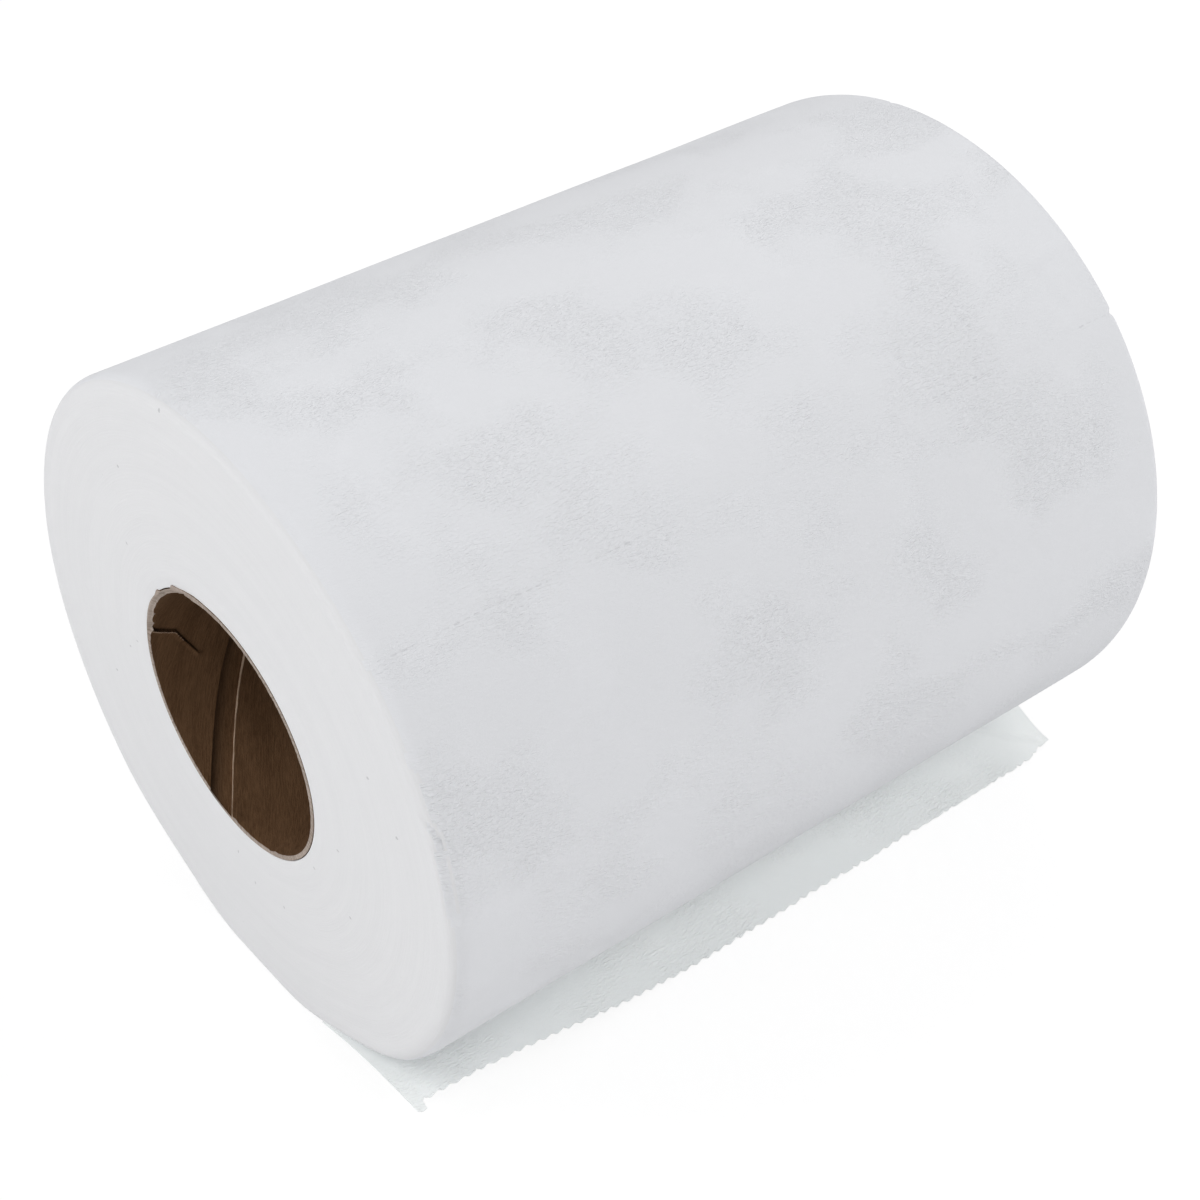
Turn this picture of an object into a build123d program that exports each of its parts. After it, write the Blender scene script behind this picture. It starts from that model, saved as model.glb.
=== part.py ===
from build123d import *
import os
from math import ceil, cos, radians, sin

# A centre-pull roll of paper towel, lying on its side as it rests on a table.
#
# It is two real pieces: a spiral-wound paperboard core, and the length of towel
# wound on it, whose last turn runs out from under the roll as a short free tail.
# +Y runs along the roll's axis, +X is the side where the tail lies, +Z is up.
# The origin is on the table, under the axis, at the middle of the roll's width.
# All sizes are in millimetres, and all angles in degrees.

# ---- driving dimensions: the wound towel ----
roll_width = 245.0          # width of the towel, along the axis
roll_diameter = 198.0       # across the roll, level with its axis
crown_height = 95.3         # from the axis up to the top: the soft roll is a little oval
axis_height = 91.3          # from the table up to the axis: the roll flattens underneath
rest_flat_width = 25.0      # width of the flat strip that it rests on
sag_angle = 42.0            # below level, where the flattened part begins
sag_middle = (40.0, 7.6)    # a point halfway down that part: out from the middle, and up
shoulder_radius = 4.5       # soft edge between the side and each end

# ---- driving dimensions: the core ----
core_bore = 76.2            # a 3 inch spindle goes through
core_wall = 1.75
seam_lead = 152.0           # advance of the winding seam in one turn
seam_gap = 7.0              # open gap between neighbouring edges of the inner ply
seam_depth = 0.45           # thickness of that ply
seam_start = -106.0         # where the gap meets the near end, turned from +X towards +Z

# ---- driving dimensions: the free tail ----
sheet_thickness = 0.4       # two embossed plies
tail_reach = 75.5           # tips of the free edge's teeth, out from the middle of the roll
tooth_pitch = 4.15          # the edge is torn along a saw-tooth perforation
tooth_depth = 1.1
tooth_lean = 0.35           # where a tooth's tip stands, as a share of its pitch
lift_length = 100.0         # stretch of the tail that rises towards that corner
lift_steps = 5              # sections that shape the rising stretch

# The tail's section: how far out each point is, as a share of the tail's reach, and how
# high it stands. Both start inside the roll and leave its underside; one then arches
# down to lie on the table, and the other rises on to the lifted corner.
resting_section = [(0.26, 3.2), (0.44, 6.8), (0.61, 7.6), (0.77, 4.4), (0.90, 1.3), (1.02, 0.0)]
lifted_section = [(0.26, 3.2), (0.44, 6.8), (0.61, 9.8), (0.77, 11.4), (0.90, 12.2), (1.02, 12.6)]

# ---- worked-out sizes ----
half_width = roll_width / 2
roll_radius = roll_diameter / 2
bore_radius = core_bore / 2
core_radius = bore_radius + core_wall
near_end = Plane.XZ.offset(half_width)

os.makedirs("parts", exist_ok=True)


# ---- core: a board tube with a helical gap where the inner ply's edges don't meet ----
# The gap is a flat strip wound up the bore. It is made upright, longer than the core by
# its own width at each end, and then laid along the roll's axis.
seam_turn = radians(seam_start)
seam_frame = Plane(
    origin=(0, -half_width - seam_gap, axis_height),
    x_dir=(cos(seam_turn), 0, sin(seam_turn)),
    z_dir=(0, 1, 0),
)

with BuildPart() as ply_gap:
    with BuildLine() as seam_path:
        Helix(seam_lead, roll_width + 2 * seam_gap, bore_radius)
    with BuildSketch(Plane(seam_path.line @ 0, x_dir=(1, 0, 0), z_dir=seam_path.line % 0)):
        Rectangle(2 * seam_depth, seam_gap)
    sweep(path=seam_path.line, is_frenet=True)

with BuildPart() as core_tube:
    with BuildSketch(near_end):
        with Locations((0, axis_height)):
            Circle(core_radius)
            Circle(bore_radius, mode=Mode.SUBTRACT)
    extrude(amount=-roll_width)
    add(ply_gap.part.moved(seam_frame.location), mode=Mode.SUBTRACT)


# ---- free tail: its edge lies on the table, and rises smoothly towards the near corner ----
sheet_end = lifted_section[-1][0] * tail_reach
corner_lift = lifted_section[-1][1]
tooth_root = tail_reach - tooth_depth
tooth_count = ceil(roll_width / tooth_pitch)
tooth_line = []
for tooth in range(tooth_count + 1):
    tooth_start = -half_width + tooth * tooth_pitch
    tooth_line.append((tooth_root, tooth_start))
    tooth_line.append((tail_reach, tooth_start + tooth_lean * tooth_pitch))
tooth_line.append((tooth_root, tooth_start + tooth_pitch))

with BuildPart() as tail:
    # skinned over sections through the stretch that rises, from the near end inwards
    for step in range(lift_steps + 1):
        share = step / lift_steps
        settled = share * share * (3 - 2 * share)
        underside = [
            (out * tail_reach, high + settled * (low - high))
            for (out, low), (out, high) in zip(resting_section, lifted_section)
        ]
        with BuildSketch(near_end.offset(-share * lift_length)):
            with BuildLine():
                under = Spline(*underside)
                top = Spline(*[(x, z + sheet_thickness) for x, z in underside])
                Line(under @ 0, top @ 0)
                Line(under @ 1, top @ 1)
            make_face()
    loft()
    # and the same from there to the far end
    extrude(tail.faces().sort_by(Axis.Y)[-1], amount=roll_width - lift_length)
    # the saw teeth of the torn edge
    with BuildSketch():
        with BuildLine():
            teeth = Polyline(*tooth_line)
            outside = sheet_end + sheet_thickness
            Polyline(teeth @ 1, (outside, (teeth @ 1).Y), (outside, -half_width), teeth @ 0)
        make_face()
    extrude(amount=corner_lift + 2 * sheet_thickness, mode=Mode.SUBTRACT)


# ---- wound towel: every turn is one solid, hollow for the core and joined to the tail ----
# The section is an oval. Its lowest part leaves the oval at the sag point and eases into
# the flat strip that rests on the table.
sag_turn = radians(sag_angle)
sag_point = Vector(roll_radius * cos(sag_turn), axis_height - crown_height * sin(sag_turn))
sag_rise = Vector(roll_radius * sin(sag_turn), crown_height * cos(sag_turn))

with BuildPart() as towel_roll:
    with BuildSketch(near_end):
        with BuildLine():
            EllipticalCenterArc(
                (0, axis_height), roll_radius, crown_height,
                start_angle=-sag_angle, arc_size=180 + 2 * sag_angle,
            )
            flat = Line((-rest_flat_width / 2, 0), (rest_flat_width / 2, 0))
            Spline(flat @ 1, sag_middle, sag_point, tangents=[(1, 0), sag_rise])
            Spline(
                (-sag_point.X, sag_point.Y), (-sag_middle[0], sag_middle[1]), flat @ 0,
                tangents=[(sag_rise.X, -sag_rise.Y), (1, 0)],
            )
        make_face()
        with Locations((0, axis_height)):
            Circle(core_radius, mode=Mode.SUBTRACT)
    extrude(amount=-roll_width)
    ends = towel_roll.faces().filter_by(Axis.Y)
    rims = [edge for end in ends for edge in end.outer_wire().edges()]
    fillet(rims, shoulder_radius)
    add(tail.part)


core_tube.part.label = "core_tube"
export_step(core_tube.part, "parts/core_tube.step")
towel_roll.part.label = "towel_roll"
export_step(towel_roll.part, "parts/towel_roll.step")

for piece in (core_tube, towel_roll):
    box = piece.part.bounding_box()
    print(piece.part.label, round(piece.part.volume), "mm3, solids", len(piece.solids()), box)
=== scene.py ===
# %% [markdown]
# # A paper towel roll with its loose end pulled out
# A long web of soft creped paper is wound round a spiral board tube. The roll lies on its side,
# sags a little under its own weight, and the end of the web lies loose on the table in front of it.
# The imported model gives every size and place, so it is loaded first and nothing here moves it.

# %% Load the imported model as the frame
import math

import bmesh
import bpy
import numpy as np
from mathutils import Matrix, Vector
from mathutils.bvhtree import BVHTree


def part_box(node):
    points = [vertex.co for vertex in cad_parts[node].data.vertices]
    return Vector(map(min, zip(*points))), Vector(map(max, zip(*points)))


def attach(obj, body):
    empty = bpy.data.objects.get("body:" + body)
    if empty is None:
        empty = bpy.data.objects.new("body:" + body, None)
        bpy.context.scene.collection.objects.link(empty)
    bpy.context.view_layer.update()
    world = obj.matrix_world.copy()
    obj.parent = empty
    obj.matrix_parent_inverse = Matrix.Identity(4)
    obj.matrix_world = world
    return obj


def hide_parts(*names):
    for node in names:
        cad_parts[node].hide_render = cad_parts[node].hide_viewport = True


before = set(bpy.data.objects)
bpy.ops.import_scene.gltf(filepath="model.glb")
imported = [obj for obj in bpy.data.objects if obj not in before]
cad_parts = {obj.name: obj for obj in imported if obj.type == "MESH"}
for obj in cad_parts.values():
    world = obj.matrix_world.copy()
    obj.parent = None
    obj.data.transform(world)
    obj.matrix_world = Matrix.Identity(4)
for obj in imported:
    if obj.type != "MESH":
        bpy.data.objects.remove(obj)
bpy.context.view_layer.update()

print("nodes:", sorted(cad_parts))

# %% [markdown]
# ## Sizes that come from the frame
# The roll lies along Y, its near end towards -Y, and its loose end comes out towards +X.
# Every later step measures from the roll's two ends, from its axis and from its bore.

# %% Read the roll's main sizes
MM = 0.001
roll_low, roll_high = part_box("towel_roll")
core_low, core_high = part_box("core_tube")
NEAR_Y, FAR_Y = roll_low.y, roll_high.y
WIDTH = FAR_Y - NEAR_Y
MIDDLE_Y = (NEAR_Y + FAR_Y) / 2
AXIS_Z = (core_low.z + core_high.z) / 2
CORE_RADIUS = (core_high.z - core_low.z) / 2
ROLL_RADIUS = roll_high.x
print(f"roll {WIDTH / MM:.0f} mm wide, {2 * ROLL_RADIUS / MM:.0f} mm across")

# %% [markdown]
# ## The sagging outline
# A heavy soft roll isn't round: it is lowest and flattest where it stands on the table.
# The outline could be typed in again, but the frame already has it. Rays shot at the roll from
# outside, down its plain side, measure the distance from the axis, and the other side mirrors it.

# %% Measure the outline with rays
RAY_COUNT = 361
RAY_START = 2 * ROLL_RADIUS
SMOOTH_REACH = 4


def measure_outline():
    """Radii from straight up, down the plain side, to straight down."""
    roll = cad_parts["towel_roll"]
    tree = BVHTree.FromObject(roll, bpy.context.evaluated_depsgraph_get())
    radii = []
    for angle in np.linspace(math.pi / 2, 3 * math.pi / 2, RAY_COUNT):
        outward = Vector((math.cos(angle), 0, math.sin(angle)))
        start = Vector((0, MIDDLE_Y, AXIS_Z)) + outward * RAY_START
        hit = tree.ray_cast(start, -outward)[0]
        radii.append(math.hypot(hit.x, hit.z - AXIS_Z))
    return np.array(radii)


def smooth(values, reach):
    """Average each value with its neighbours, mirrored past the two ends."""
    padded = np.pad(values, reach, mode="reflect")
    kernel = np.hanning(2 * reach + 3)[1:-1]
    return np.convolve(padded, kernel / kernel.sum(), mode="valid")


outline = smooth(measure_outline(), SMOOTH_REACH)


def outer_radius(angle):
    """The roll's radius at an angle about its axis, 0 towards +X and a quarter turn up."""
    from_top = np.abs((angle - math.pi / 2 + math.pi) % (2 * math.pi) - math.pi)
    return np.interp(from_top, np.linspace(0, math.pi, RAY_COUNT), outline)


print(f"radius up {outline[0] / MM:.1f} mm, down {outline[-1] / MM:.1f} mm")

# %% [markdown]
# ## Helpers for modelling
# Each piece starts as a primitive and is shaped in edit mode. These helpers do the choosing that a
# hand would do with the mouse, and pass a mesh's points to and from numpy for the soft shaping.

# %% Helpers that start, choose and finish


def deselect_all():
    bpy.ops.object.select_all(action="DESELECT")


def name_piece(name):
    piece = bpy.context.object
    piece.name = name
    piece.data.name = name
    return piece


def choose_edges(piece, test):
    """Select the edges whose middle passes the test."""
    bpy.ops.mesh.select_mode(type="EDGE")
    bpy.ops.mesh.select_all(action="DESELECT")
    mesh = bmesh.from_edit_mesh(piece.data)
    for edge in mesh.edges:
        ends = [vert.co for vert in edge.verts]
        edge.select = test((ends[0] + ends[1]) / 2)
    mesh.select_flush_mode()
    bmesh.update_edit_mesh(piece.data)


def choose_points(piece, test):
    """Select the vertices whose place passes the test."""
    bpy.ops.mesh.select_mode(type="VERT")
    bpy.ops.mesh.select_all(action="DESELECT")
    mesh = bmesh.from_edit_mesh(piece.data)
    for vert in mesh.verts:
        vert.select = test(vert.co)
    mesh.select_flush_mode()
    bmesh.update_edit_mesh(piece.data)


def read_points(piece):
    flat = np.empty(3 * len(piece.data.vertices))
    piece.data.vertices.foreach_get("co", flat)
    return flat.reshape(-1, 3)


def read_normals(piece):
    flat = np.empty(3 * len(piece.data.vertices))
    piece.data.vertices.foreach_get("normal", flat)
    return flat.reshape(-1, 3)


def write_points(piece, points):
    piece.data.vertices.foreach_set("co", points.ravel())
    piece.data.update()


def count_triangles(piece):
    return sum(len(face.vertices) - 2 for face in piece.data.polygons)


print("modelling helpers ready")

# %% [markdown]
# Dents, ridges and creases are all the same idea: a path drawn on the surface, and a push that fades
# with the distance from it. Paths are lists of a few points in unrolled paper coordinates, which are
# the arc round the roll and the distance from its near end.

# %% Helpers for paths and soft pushes


def distance_to_path(places, path):
    """Shortest distance from each place to a line of points, both in the same flat units."""
    best = np.full(len(places), np.inf)
    for start, end in zip(path[:-1], path[1:]):
        start, end = np.array(start), np.array(end)
        run = end - start
        share = np.clip((places - start) @ run / (run @ run), 0, 1)
        gap = np.linalg.norm(places - start - share[:, None] * run, axis=1)
        best = np.minimum(best, gap)
    return best


def fade(distance, width):
    """One on the path, falling softly to nothing over about twice the width."""
    return np.exp(-((distance / width) ** 2))


def step(value, start, end):
    """Rises smoothly from 0 at start to 1 at end."""
    share = np.clip((value - start) / (end - start), 0, 1)
    return share * share * (3 - 2 * share)


def waves(places, lengths, seed):
    """A gentle seeded swell from about -1 to 1, made of a few waves of the given lengths."""
    chance = np.random.default_rng(seed)
    total = np.zeros(len(places))
    for length in lengths:
        turn = chance.uniform(0, 2 * math.pi)
        heading = np.array([math.cos(turn), math.sin(turn)]) * 2 * math.pi / length
        total += np.sin(places @ heading + chance.uniform(0, 2 * math.pi))
    return total / len(lengths)


print("path helpers ready")

# %% [markdown]
# ## The wound paper
# On the real roll this is one web wound a few hundred turns, and from outside it reads as a solid
# with soft shoulders. It could be a bevelled cylinder, but its shoulders, its fine rows near the
# ends and its bore all lie in one lengthwise outline. So a plane is cut to that outline, its corners
# are rounded, its edges are subdivided, and it is spun round the axis.

# %% Draw the lengthwise outline
SHOULDER = 4.5 * MM
BORE_ROUNDING = 0.35 * MM
BORE_RADIUS = CORE_RADIUS + 0.03 * MM
FINE_ZONE = 22 * MM
NEAR_ROWS, MIDDLE_ROWS, FAR_ROWS = 26, 64, 14
NEAR_FACE_ROWS, FAR_FACE_ROWS, BORE_CUTS = 34, 14, 12
COLUMNS = 480


def start_outline(name, inner, outer):
    """A plane over the roll's width, from one radius to another above the axis, in edit mode."""
    deselect_all()
    bpy.ops.mesh.primitive_plane_add(size=1, rotation=(0, math.pi / 2, 0))
    piece = name_piece(name)
    bpy.ops.object.transform_apply(rotation=True)
    bpy.ops.object.mode_set(mode="EDIT")
    bpy.ops.mesh.select_all(action="SELECT")
    bpy.ops.transform.resize(value=(1, WIDTH, outer - inner), center_override=(0, 0, 0))
    bpy.ops.transform.translate(value=(0, MIDDLE_Y, AXIS_Z + inner + (outer - inner) / 2))
    return piece


def draw_paper_outline():
    piece = start_outline("wound_paper", BORE_RADIUS, ROLL_RADIUS)
    half_way = AXIS_Z + (BORE_RADIUS + ROLL_RADIUS) / 2
    choose_points(piece, lambda place: place.z > half_way)
    bpy.ops.mesh.bevel(offset=SHOULDER, segments=8, affect="VERTICES")
    choose_points(piece, lambda place: place.z < AXIS_Z + BORE_RADIUS + MM)
    bpy.ops.mesh.bevel(offset=BORE_ROUNDING, segments=2, affect="VERTICES")
    bpy.ops.mesh.select_all(action="SELECT")
    bpy.ops.mesh.delete(type="ONLY_FACE")
    for cut in (NEAR_Y + FINE_ZONE, FAR_Y - FINE_ZONE):
        bpy.ops.mesh.select_all(action="SELECT")
        bpy.ops.mesh.bisect(plane_co=(0, cut, 0), plane_no=(0, 1, 0))
    return piece


wound_paper = draw_paper_outline()
print("outline corners:", len(bmesh.from_edit_mesh(wound_paper.data).verts))

# %% Subdivide the outline and spin it
TOP = AXIS_Z + ROLL_RADIUS
CLOSE = 0.01 * MM


def subdivide_where(piece, test, cuts):
    choose_edges(piece, test)
    bpy.ops.mesh.subdivide(number_cuts=cuts)


def spin_outline(columns, weld):
    """Spin the outline being edited once round the axis, and close the skin."""
    bpy.ops.mesh.select_all(action="SELECT")
    bpy.ops.mesh.spin(steps=columns, angle=2 * math.pi, center=(0, 0, AXIS_Z), axis=(0, 1, 0))
    bpy.ops.mesh.select_all(action="SELECT")
    bpy.ops.mesh.remove_doubles(threshold=weld)
    bpy.ops.mesh.normals_make_consistent(inside=False)


def spin_paper(piece):
    on_side = lambda place: place.z > TOP - CLOSE
    face_low = AXIS_Z + BORE_RADIUS + BORE_ROUNDING
    in_face = lambda place: face_low < place.z < TOP - SHOULDER
    in_bore = lambda place: place.z < face_low - BORE_ROUNDING + CLOSE
    near_cut, far_cut = NEAR_Y + FINE_ZONE, FAR_Y - FINE_ZONE
    subdivide_where(piece, lambda p: on_side(p) and near_cut < p.y < far_cut, MIDDLE_ROWS)
    subdivide_where(piece, lambda p: on_side(p) and NEAR_Y + SHOULDER < p.y < near_cut, NEAR_ROWS)
    subdivide_where(piece, lambda p: on_side(p) and far_cut < p.y < FAR_Y - SHOULDER, FAR_ROWS)
    subdivide_where(piece, lambda p: in_bore(p) and near_cut < p.y < far_cut, BORE_CUTS)
    subdivide_where(piece, lambda p: in_face(p) and p.y < MIDDLE_Y, NEAR_FACE_ROWS)
    subdivide_where(piece, lambda p: in_face(p) and p.y > MIDDLE_Y, FAR_FACE_ROWS)
    spin_outline(COLUMNS, CLOSE)
    bpy.ops.object.mode_set(mode="OBJECT")


spin_paper(wound_paper)
print("wound paper triangles:", count_triangles(wound_paper))

# %% [markdown]
# The spun shape is still perfectly round. Each point now moves in or out along its own radius, in
# proportion to how far it lies from the bore, until the outermost turn follows the sagging outline.
# The near mouth of the bore has sagged too: it is wider than high, a little smaller than the rest,
# and pushed to one side. The tube inside it will take the same squash, which fades down the bore.

# %% Let the roll sag


def angle_of(points):
    return np.arctan2(points[:, 2] - AXIS_Z, points[:, 0])


def radius_of(points):
    return np.hypot(points[:, 0], points[:, 2] - AXIS_Z)


MOUTH_OVAL, MOUTH_SIDE, MOUTH_LIFT = 1.3 * MM, -1.15 * MM, 0.2 * MM
MOUTH_REACH = 70 * MM
BORE_SHRINK, TUBE_SHRINK = 1.15 * MM, 0.7 * MM


def squash(angle, depth, shrink):
    """How far the mouth of the bore moves out, at each angle and depth, less its shrinking."""
    oval = MOUTH_OVAL * np.cos(2 * angle)
    shift = MOUTH_SIDE * np.cos(angle) + MOUTH_LIFT * np.sin(angle)
    return (oval + shift - shrink) * (1 - step(depth, 0, MOUTH_REACH))


def sag(points):
    angle, radius = angle_of(points), radius_of(points)
    share = (radius - BORE_RADIUS) / (ROLL_RADIUS - BORE_RADIUS)
    moved = BORE_RADIUS + share * (outer_radius(angle) - BORE_RADIUS)
    moved += squash(angle, points[:, 1] - NEAR_Y, BORE_SHRINK) * (1 - step(share, 0, 0.25))
    return np.stack([moved * np.cos(angle), points[:, 1], AXIS_Z + moved * np.sin(angle)], axis=1)


round_points = read_points(wound_paper)
write_points(wound_paper, sag(round_points))
print(f"lowest point {read_points(wound_paper)[:, 2].min() / MM:.2f} mm")

# %% [markdown]
# ## Handling marks in the wound paper
# A roll of soft paper is never even. The web swells and sinks a little over its length, the near
# shoulder has a small fold and a nick where it was gripped, and the far end has a dent and a notch
# on the tear line. Each mark is a path in degrees round the roll and millimetres from the near end,
# with its width and height in millimetres. Round the mouth of the bore the paper lies a little lower
# than the tube, and lower still beside the part of the rim that was torn.

# %% Push the marks into the surface
TEAR_ANGLE_NEAR, TEAR_ANGLE_FAR = 44.1, 42.6


def unrolled(degrees, along):
    """A place on the paper, as metres of arc and metres from the near end."""
    return (math.radians(degrees) * ROLL_RADIUS, along * MM)


SHOULDER_FOLD = [
    unrolled(31, -4),
    unrolled(29, 0),
    unrolled(26.5, 4),
    unrolled(25, 7),
    unrolled(22.7, 11),
]
SHOULDER_CREASE = [unrolled(21.5, -3), unrolled(20, 0), unrolled(17.5, 1.5)]
SHOULDER_STRIP = [unrolled(16, 0.5), unrolled(6, 0.5)]
FAR_DENT = [unrolled(47, 228), unrolled(53, 226)]
FAR_FOLD = [unrolled(55, 228), unrolled(56.5, 232), unrolled(56, 237)]
FAR_NOTCH = [unrolled(TEAR_ANGLE_FAR, 243), unrolled(TEAR_ANGLE_FAR, 250)]
TOP_NOTCH = [unrolled(100, 243), unrolled(100, 250)]
TEAR_LINE = [unrolled(TEAR_ANGLE_NEAR, 0), unrolled(TEAR_ANGLE_FAR, 245)]
MARKS = [
    (SHOULDER_FOLD, 1.0, 0.5),
    (SHOULDER_CREASE, 0.8, -0.8),
    (SHOULDER_STRIP, 2.2, -0.7),
    (FAR_DENT, 3.5, -0.7),
    (FAR_FOLD, 1.2, 0.35),
    (FAR_NOTCH, 0.7, -0.7),
    (TOP_NOTCH, 0.9, -0.7),
    (TEAR_LINE, 0.9, -0.08),
]
SWELL_HEIGHT, SWELL_LENGTHS = 0.16, (0.11, 0.16, 0.07, 0.23)
FACE_HEIGHT, FACE_LENGTHS = 0.08, (0.008, 0.013, 0.021, 0.034)
MOUTH_DIP, TORN_DIP = 0.15, 0.2


def paper_places(points, angle):
    """Unrolled coordinates that run on smoothly over the near shoulder into the end face."""
    inset = ROLL_RADIUS - radius_of(points)
    along = points[:, 1] - NEAR_Y
    near_half = points[:, 1] < MIDDLE_Y
    along = np.where(near_half, along - inset, along + inset)
    return np.stack([angle * ROLL_RADIUS, along], axis=1)


def press_marks(piece, spun):
    """Move each point along its normal by the marks near it and by the slow swells."""
    angle = angle_of(spun)
    places = paper_places(spun, angle)
    outer = step(radius_of(spun), ROLL_RADIUS - 12 * MM, ROLL_RADIUS - 5 * MM)
    push = np.zeros(len(spun))
    for path, width, height in MARKS:
        push += outer * height * fade(distance_to_path(places, path), width * MM)
    around = np.stack([np.cos(angle), np.sin(angle)], axis=1) * ROLL_RADIUS
    lengthwise = np.stack([around[:, 0] + around[:, 1], spun[:, 1] * 2], axis=1)
    push += SWELL_HEIGHT * outer * waves(lengthwise, SWELL_LENGTHS, seed=3)
    inner = step(radius_of(spun), BORE_RADIUS + 0.1 * MM, BORE_RADIUS + 4 * MM)
    turns = np.stack([radius_of(spun), around[:, 0] * 0.06], axis=1)
    push += FACE_HEIGHT * inner * (1 - outer) * waves(turns, FACE_LENGTHS, seed=5)
    mouth = 1 - step(radius_of(spun), BORE_RADIUS + 2 * MM, BORE_RADIUS + 4.5 * MM)
    turn = np.degrees(angle)
    torn = step(turn, 96, 108) * (1 - step(turn, 150, 165))
    push -= mouth * (spun[:, 1] < NEAR_Y + MM) * (MOUTH_DIP + TORN_DIP * torn)
    write_points(piece, read_points(piece) + read_normals(piece) * push[:, None] * MM)


press_marks(wound_paper, round_points)
print("marks pressed:", len(MARKS))

# %% [markdown]
# ## Laying flat coordinates on the paper
# The crepe of the paper runs with the web, so its pattern has to be read from a map that unrolls it.
# The map is in metres: the arc round the roll and the place along it, and on the end faces the arc
# and the distance from the axis, so that one turn of paper is one straight line there.

# %% Unroll the paper into a map
END_FACE_SLOPE = 0.75


def face_loops(piece):
    """For each face corner: its vertex and its face."""
    count = len(piece.data.loops)
    vertex = np.empty(count, dtype=np.int64)
    piece.data.loops.foreach_get("vertex_index", vertex)
    sizes = np.empty(len(piece.data.polygons), dtype=np.int64)
    piece.data.polygons.foreach_get("loop_total", sizes)
    return vertex, np.repeat(np.arange(len(sizes)), sizes)


def closed_angles(angle, vertex, face):
    """Corner angles that don't jump by a whole turn inside one face."""
    corner = angle[vertex]
    first = np.zeros(face.max() + 1)
    first[face[::-1]] = corner[::-1]
    gap = corner - first[face]
    return corner - 2 * math.pi * np.round(gap / (2 * math.pi))


def write_map(piece, across, along):
    """The piece's map is called web; a grid or a spun plane may already have another."""
    layer = piece.data.uv_layers.new(name="web")
    layer.data.foreach_set("uv", np.stack([across, along], axis=1).ravel())


def map_wound_paper(piece, spun):
    vertex, face = face_loops(piece)
    corner = closed_angles(angle_of(spun), vertex, face)
    slope = np.empty(3 * len(piece.data.polygons))
    piece.data.polygons.foreach_get("normal", slope)
    ends = np.abs(slope.reshape(-1, 3)[:, 1]) > END_FACE_SLOPE
    along = np.where(ends[face], radius_of(spun)[vertex], spun[vertex, 1])
    write_map(piece, corner * ROLL_RADIUS, along)
    return ends


end_faces = map_wound_paper(wound_paper, round_points)
print("end faces:", int(end_faces.sum()))

# %% [markdown]
# ## The loose end of the web
# One ply of the web leaves the underside of the roll, arches up and comes down on the table. Its
# near end was lifted when the sheet before it was torn off, and its free edge has the saw teeth of
# the cutter. Cloth simulation would drape it, but paper this short holds the shape it was left in.
# So a grid is laid over it and each point takes its height from two sections, at rest and lifted.
# The near corner keeps a small square tab, and the far corner is drawn in, with a crease across it.

# %% Shape the loose end
TAIL_REACH = 75.5 * MM
TAIL_START = 0.42
LIFT_LENGTH = 100 * MM
RESTING = [(0.26, 3.2), (0.44, 6.8), (0.61, 7.6), (0.77, 4.4), (0.90, 1.3), (1.02, 0.0)]
LIFTED = [(0.26, 3.2), (0.44, 6.8), (0.61, 9.8), (0.77, 11.4), (0.90, 12.2), (1.02, 12.6)]
TAIL_ROWS, TAIL_COLUMNS = 58, 472
SHEET = 0.32 * MM
TOOTH_PITCH, TOOTH_DEPTH, TOOTH_LEAN = 4.15 * MM, 1.1 * MM, 0.3
TIP_WIDTH, TIP_LENGTH = 3.0 * MM, 2.8 * MM
CORNER_BACK, CORNER_LEAN = 2.3 * MM, 1.6 * MM
CREASE = [(0.056, 0.2248), (0.0648, 0.2336), (0.0714, 0.2419)]
CREASE_WIDTH, CREASE_HEIGHT = 0.9 * MM, 0.9 * MM


def curve_through(places, section):
    """A smooth curve through the section's points, by a cubic with matched slopes."""
    known = np.array([point[0] for point in section])
    height = np.array([point[1] for point in section]) * MM
    slope = np.gradient(height, known)
    index = np.clip(np.searchsorted(known, places) - 1, 0, len(known) - 2)
    run = known[index + 1] - known[index]
    t = (places - known[index]) / run
    rise = (2 * t**3 - 3 * t**2 + 1) * height[index] + (3 * t**2 - 2 * t**3) * height[index + 1]
    lean = (t**3 - 2 * t**2 + t) * slope[index] + (t**3 - t**2) * slope[index + 1]
    return rise + lean * run


def tooth_edge(y):
    """How far the free edge stands back from the full reach, at each place along it."""
    chance = np.random.default_rng(11)
    count = int(WIDTH / TOOTH_PITCH) + 2
    place = (y - NEAR_Y) / TOOTH_PITCH
    index = np.clip(place.astype(int), 0, count - 1)
    share = place - index
    depth = TOOTH_DEPTH * chance.uniform(0.7, 1.15, count)
    worn = (np.arange(count) > 0.5 * count) & (chance.uniform(0, 1, count) < 0.4)
    depth[worn] *= 0.25
    rise = np.where(share < TOOTH_LEAN, share / TOOTH_LEAN, (1 - share) / (1 - TOOTH_LEAN))
    return -depth[index] * (1 - rise)


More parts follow.
